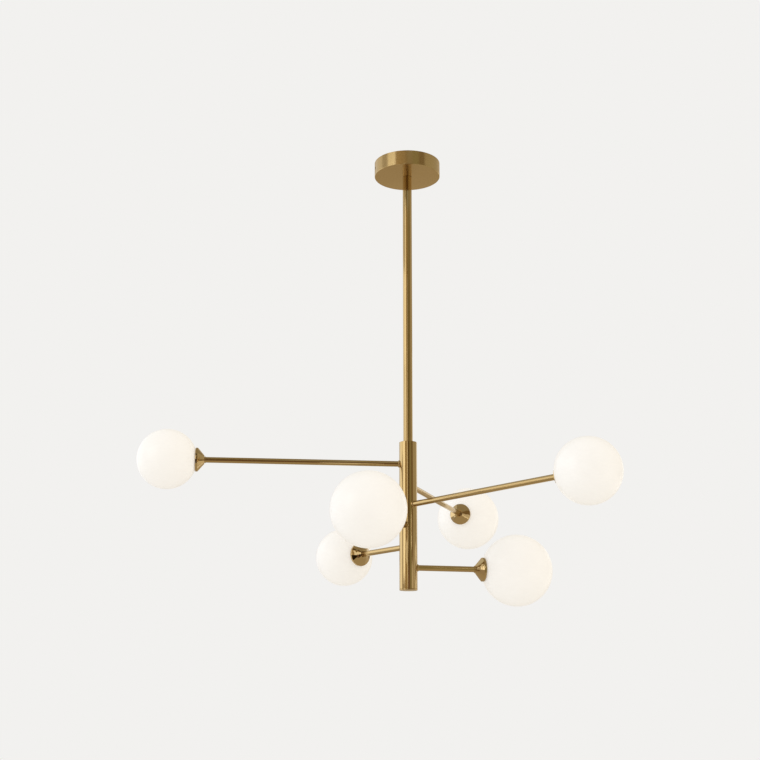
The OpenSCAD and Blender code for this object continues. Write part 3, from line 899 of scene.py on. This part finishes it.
def earth_lug_mesh(sizes):
    """A crimped lug: a ring for the earth screw, a tongue and a barrel on the lead."""
    x, _, lead_height = (MM * value for value in LEADS["earth"][-1])
    top, thickness, edge = -2.05 * MM, 0.8 * MM, sizes.edge_round / 2
    hole, eye = 2.05 * MM, 3.8 * MM
    barrel_bore, barrel_radius, barrel_length, barrel_end = 0.8 * MM, 1.4 * MM, 4.5 * MM, -12.0 * MM
    tongue_size, tongue_middle = (3.0 * MM, 5.4 * MM, thickness), -5.3 * MM
    ring = tube_mesh("ring", eye, hole, top - thickness, top, edge, edge, NARROW)
    barrel = tube_mesh("barrel", barrel_radius, barrel_bore, 0.0, barrel_length, edge, edge, SMALL)
    tongue = chamfered_block("tongue", tongue_size, edge)
    along = Matrix.Translation((x, barrel_end, lead_height)) @ Matrix.Rotation(-math.pi / 2, 4, "X")
    return together("earth_lug", [
        moved(ring, (x, 0, 0)), moved(barrel, along),
        moved(tongue, (x, tongue_middle, top - thickness / 2))])


class CHANDELIER_OT_wiring(bpy.types.Operator):
    """Finish the cable and the arms' wires, and build the three leads in the canopy"""
    bl_idname = "chandelier.wiring"
    bl_label = "Wiring"

    def execute(self, context):
        small, sizes = settings("small"), settings("sizes")
        covers = {key: finish(key + "_cover", make_moulded, getattr(small, key), 0.42, 1500.0)
                  for key in ("live", "neutral", "earth", "earth_stripe", "sheath")}
        give(covers["sheath"], "stem_cable")
        give(covers["live"], "arm_wires")
        for key, corners in LEADS.items():
            path = bent([MM * Vector(corner) for corner in corners], sizes.lead_bend)
            striped = key == "earth"
            mesh = swept(key, path, sizes.lead_radius, striped=striped)
            add_piece(key + "_lead", mesh, Matrix.Identity(4), "base", covers[key],
                      ["canopy_leads"], covers["earth_stripe"] if striped else None)
        add_piece("earth_lug", earth_lug_mesh(sizes), Matrix.Identity(4), "base",
                  turned_brass())
        return {"FINISHED"}


# ---------- the stage ----------

# The camera: lens and sensor in millimetres, directions in degrees
PHOTO_LENS, PHOTO_SENSOR = 60.3, 36
PHOTO_AZIMUTH, PHOTO_PITCH, PHOTO_YAW, PHOTO_ROLL = -102.0, 14.747, -1.295, 0.14
OVERHEAD_SIZE, OVERHEAD_PLACE = 2.5, (-0.8, -0.6, 2.4)

# The room that the metal mirrors. Directions are in degrees, counted from the camera's direction
# to its right. The last entry of each row is its brightness.
ROOM_RADIUS, ROOM_FLOOR, ROOM_CEILING = 3.2, -2.55, 1.6
CARD_GAP, PANEL_HOLE = 0.06, 0.01
# Walls: from, to
WALLS = [
    ("pale_left", -150, -125, (1.00, 1.04, 1.10)),
    ("bright_left", -125, -88, (1.40, 1.40, 1.40)),
    ("tan_left", -88, -67, (0.60, 0.55, 0.50)),
    ("window_left", -67, -42, (1.70, 1.70, 1.70)),
    ("brown_front", -42, -5, (0.50, 0.38, 0.22)),
    ("dark_front", -5, 18, (0.16, 0.11, 0.05)),
    ("olive_right", 18, 42, (0.33, 0.30, 0.17)),
    ("dark_right", 42, 64, (0.24, 0.17, 0.09)),
    ("tan_right", 64, 134, (0.52, 0.47, 0.36)),
    ("dull_back", 134, 210, (0.58, 0.49, 0.35)),
]
# Cards just in front of the walls: from, to, lower edge, upper edge
CARDS = [
    ("grey_left_over", -150, -98, 1.0, 1.6, (0.82, 0.79, 0.74)),
    ("tan_left_over", -98, -72, 1.0, 1.6, (0.52, 0.48, 0.42)),
    ("window_over", -72, -48, 1.0, 1.6, (1.30, 1.27, 1.20)),
    ("pale_left_shelf", -88, -67, 0.35, 1.0, (1.30, 1.28, 1.22)),
    ("bar_front", -13, -7, -0.9, 1.0, (1.20, 1.18, 1.15)),
    ("black_front", -20, -4, -2.55, -0.9, (0.02, 0.012, 0.004)),
    ("dark_front_low", -4, 18, -2.55, -0.7, (0.24, 0.14, 0.10)),
    ("tan_front_over", -5, 18, 1.1, 1.6, (0.38, 0.30, 0.17)),
    ("pale_right_low", 42, 64, -2.0, -0.6, (0.75, 0.70, 0.62)),
    ("bright_right_foot", 44, 58, -2.55, -2.0, (1.30, 1.25, 1.15)),
    ("dark_right_low", 96, 116, -0.95, -0.4, (0.06, 0.04, 0.02)),
    ("pale_right_low_back", 96, 134, -2.0, -0.95, (0.85, 0.78, 0.66)),
    ("bright_back_low", 134, 144, -1.2, -0.2, (1.55, 1.50, 1.40)),
    ("bright_back", 134, 160, -0.2, 0.5, (1.10, 1.07, 1.00)),
    ("dark_back", 144, 160, -0.75, -0.2, (0.38, 0.30, 0.20)),
    ("dull_back_low", 160, 210, -2.55, -1.42, (0.42, 0.34, 0.22)),
    ("tan_left_low", -150, -110, -2.55, -0.95, (0.50, 0.46, 0.42)),
    ("bright_left_low", -110, -90, -1.9, -0.95, (1.10, 1.08, 1.05)),
    ("chest_left_low", -110, -88, -2.55, -1.9, (0.40, 0.36, 0.33)),
    ("chair_left_low", -88, -42, -2.55, -0.75, (0.45, 0.38, 0.30)),
]
# Level panels: from, to, nearest and furthest from the middle, height
PANELS = [
    ("ceiling", 0, 360, PANEL_HOLE, ROOM_RADIUS, ROOM_CEILING, (0.38, 0.34, 0.25)),
    ("ceiling_dark_front", -20, 0, 1.9, 3.0, 1.54, (0.10, 0.07, 0.03)),
    ("ceiling_pale_front", 0, 18, 1.5, 3.1, 1.54, (0.44, 0.46, 0.45)),
    ("ceiling_left", -150, -95, 1.5, 3.1, 1.54, (0.70, 0.70, 0.66)),
    ("floor", 0, 360, PANEL_HOLE, ROOM_RADIUS, ROOM_FLOOR, (0.50, 0.43, 0.32)),
    ("floor_black_front", -20, 4, 2.4, 3.1, -2.49, (0.03, 0.02, 0.01)),
]


def reflected_card(name, vertices, faces, brightness):
    """A glowing card that only the metal's reflections see."""
    mesh = bpy.data.meshes.new(name)
    mesh.from_pydata(vertices, [], faces)
    tree = Tree(bpy.data.materials.new(name))
    glow = tree.node("ShaderNodeEmission", values={"Color": (*brightness, 1), "Strength": 1.0})
    tree.node("ShaderNodeOutputMaterial", values={"Surface": glow})
    mesh.materials.append(tree.owner)
    card = bpy.data.objects.new(name, mesh)
    bpy.context.scene.collection.objects.link(card)
    card.visible_camera = card.visible_diffuse = card.visible_shadow = False
    card.visible_transmission = card.visible_volume_scatter = False


def band(name, start, end, edges, brightness, steps=12):
    """A card from one direction to another, between two edges given by radius and height."""
    front = math.radians(PHOTO_AZIMUTH)
    angles = [front + math.radians(start + (end - start) * k / steps) for k in range(steps + 1)]
    points = [(radius * math.cos(angle), radius * math.sin(angle), height)
              for radius, height in edges for angle in angles]
    faces = [(k, k + 1, k + steps + 2, k + steps + 1) for k in range(steps)]
    reflected_card(name, points, faces, brightness)


def add_reflections():
    """Walls, cards and level panels that give the brass its light and dark lines."""
    for name, start, end, brightness in WALLS:
        edges = (ROOM_RADIUS, ROOM_FLOOR), (ROOM_RADIUS, ROOM_CEILING)
        band(name, start, end, edges, brightness)
    for name, start, end, low, high, brightness in CARDS:
        edges = (ROOM_RADIUS - CARD_GAP, low), (ROOM_RADIUS - CARD_GAP, high)
        band(name, start, end, edges, brightness)
    for name, start, end, near, far, height, brightness in PANELS:
        band(name, start, end, ((near, height), (far, height)), brightness, 48)


def seen_directly(tree):
    """1 for rays that see the background itself, from the camera, in metal or through glass."""
    rays = tree.node("ShaderNodeLightPath")
    outputs = rays.socket.node.outputs
    seen = [Signal(tree, outputs[key]) for key in
            ("Is Camera Ray", "Is Glossy Ray", "Is Transmission Ray")]
    return seen[0] + seen[1] + seen[2] > 0.5


def make_world(stage):
    """Background where it is seen, and a soft light, neutral left and warm right, elsewhere."""
    world = bpy.data.worlds.new("studio")
    bpy.context.scene.world = world
    tree = Tree(world)
    toward = tree.node("ShaderNodeTexCoord", output="Generated")
    front = math.radians(PHOTO_AZIMUTH)
    rightwards = (-math.sin(front), math.cos(front), 0)
    side = tree.vector("DOT_PRODUCT", toward, rightwards, output="Value") * 0.5 + 0.5
    light = tree.mix(side, tuple(stage.light_left), tuple(stage.light_right))
    soft = tree.node("ShaderNodeBackground", values={"Color": light, "Strength": 1.0})
    seen = tree.node("ShaderNodeBackground",
                     values={"Color": (*stage.background, 1), "Strength": 1.0})
    both = tree.node("ShaderNodeMixShader", values={0: seen_directly(tree), 1: soft, 2: seen})
    tree.node("ShaderNodeOutputWorld", values={"Surface": both})


def make_floor(stage):
    """A wide pale floor that keeps the shadow and fades into the background."""
    radius, fade_from, fade_to = 9.0, 0.25, 0.9
    mesh = turned("floor", [(0.0, 0.0), (radius / 3, 0.0), (radius, 0.0)], PLAIN, closed=False)
    floor = bpy.data.objects.new("floor", mesh)
    bpy.context.scene.collection.objects.link(floor)
    floor.location.z = -stage.floor_drop
    tree = Tree(bpy.data.materials.new("pale_floor"))
    place = tree.place()
    grain = tree.noise(place, scale=40.0, detail=3.0)
    darker = tuple(0.9 * value for value in stage.background)
    pale = tree.mix(grain * 0.03, tuple(stage.background), darker)
    matt = tree.node("ShaderNodeBsdfDiffuse", values={"Color": pale})
    x, y, _ = tree.parts(place)
    from_middle = (x * x + y * y) ** 0.5
    fade = tree.node("ShaderNodeMapRange", {"interpolation_type": "SMOOTHSTEP"},
                     {"Value": from_middle, "From Min": radius * fade_from,
                      "From Max": radius * fade_to})
    clear = tree.node("ShaderNodeBsdfTransparent")
    both = tree.node("ShaderNodeMixShader", values={0: fade, 1: matt, 2: clear})
    tree.node("ShaderNodeOutputMaterial", values={"Surface": both})
    mesh.materials.append(tree.owner)


def make_camera(stage):
    """A view from below the middle of the arms, looking up a little."""
    camera = bpy.data.objects.new("camera", bpy.data.cameras.new("camera"))
    bpy.context.scene.collection.objects.link(camera)
    front = math.radians(PHOTO_AZIMUTH)
    camera.location = (stage.camera_distance * math.cos(front),
                       stage.camera_distance * math.sin(front), -stage.camera_drop)
    look = Matrix.Rotation(front + math.pi / 2 - math.radians(PHOTO_YAW), 4, "Z")
    look @= Matrix.Rotation(math.pi / 2 + math.radians(PHOTO_PITCH), 4, "X")
    look @= Matrix.Rotation(math.radians(PHOTO_ROLL), 4, "Z")
    camera.rotation_euler = look.to_euler()
    camera.data.lens = PHOTO_LENS
    camera.data.sensor_width = PHOTO_SENSOR
    camera.data.clip_end = 100
    bpy.context.scene.camera = camera


class CHANDELIER_OT_stage(bpy.types.Operator):
    """Add the camera, the soft light, the background and the floor"""
    bl_idname = "chandelier.stage"
    bl_label = "Stage"

    def execute(self, context):
        stage = settings("stage")
        make_camera(stage)
        make_world(stage)
        make_floor(stage)
        add_reflections()
        lamp = bpy.data.lights.new("overhead", "AREA")
        lamp.shape = "RECTANGLE"
        lamp.size = lamp.size_y = OVERHEAD_SIZE
        lamp.energy = stage.overhead_power
        overhead = bpy.data.objects.new("overhead", lamp)
        overhead.location = OVERHEAD_PLACE
        overhead.visible_camera = overhead.visible_glossy = False
        bpy.context.scene.collection.objects.link(overhead)
        context.scene.view_settings.view_transform = "Standard"
        return {"FINISHED"}


# ---------- the add-on ----------

GROUPS = {"brass": BrassFinish, "glass": GlassFinish, "small": SmallPartFinish,
          "sizes": PieceSizes, "stage": StageSettings}
OPERATORS = [CHANDELIER_OT_stage, CHANDELIER_OT_canopy, CHANDELIER_OT_stem_and_column,
             CHANDELIER_OT_arms, CHANDELIER_OT_cups, CHANDELIER_OT_globes, CHANDELIER_OT_lamps,
             CHANDELIER_OT_ceiling_hardware, CHANDELIER_OT_wiring]


class VIEW3D_PT_chandelier(bpy.types.Panel):
    """The chandelier's pieces, sizes and colours"""
    bl_label = "Branch chandelier"
    bl_idname = "VIEW3D_PT_chandelier"
    bl_space_type = "VIEW_3D"
    bl_region_type = "UI"
    bl_category = "Chandelier"

    def draw(self, context):
        for operator in OPERATORS:
            self.layout.operator(operator.bl_idname)
        for name, group in GROUPS.items():
            box = self.layout.box()
            for value in group.__annotations__:
                box.prop(settings(name), value)


def register():
    for group in GROUPS.values():
        bpy.utils.register_class(group)
    for name, group in GROUPS.items():
        setattr(bpy.types.Scene, "chandelier_" + name, PointerProperty(type=group))
    for operator in OPERATORS:
        bpy.utils.register_class(operator)
    bpy.utils.register_class(VIEW3D_PT_chandelier)


def unregister():
    bpy.utils.unregister_class(VIEW3D_PT_chandelier)
    for operator in reversed(OPERATORS):
        bpy.utils.unregister_class(operator)
    for name, group in GROUPS.items():
        delattr(bpy.types.Scene, "chandelier_" + name)
        bpy.utils.unregister_class(group)


def main():
    register()
    bpy.ops.chandelier.stage()
    bpy.ops.chandelier.canopy()
    bpy.ops.chandelier.stem_and_column()
    bpy.ops.chandelier.arms()
    bpy.ops.chandelier.cups()
    bpy.ops.chandelier.globes()
    bpy.ops.chandelier.lamps()
    bpy.ops.chandelier.ceiling_hardware()
    bpy.ops.chandelier.wiring()


if __name__ == "__main__":
    main()
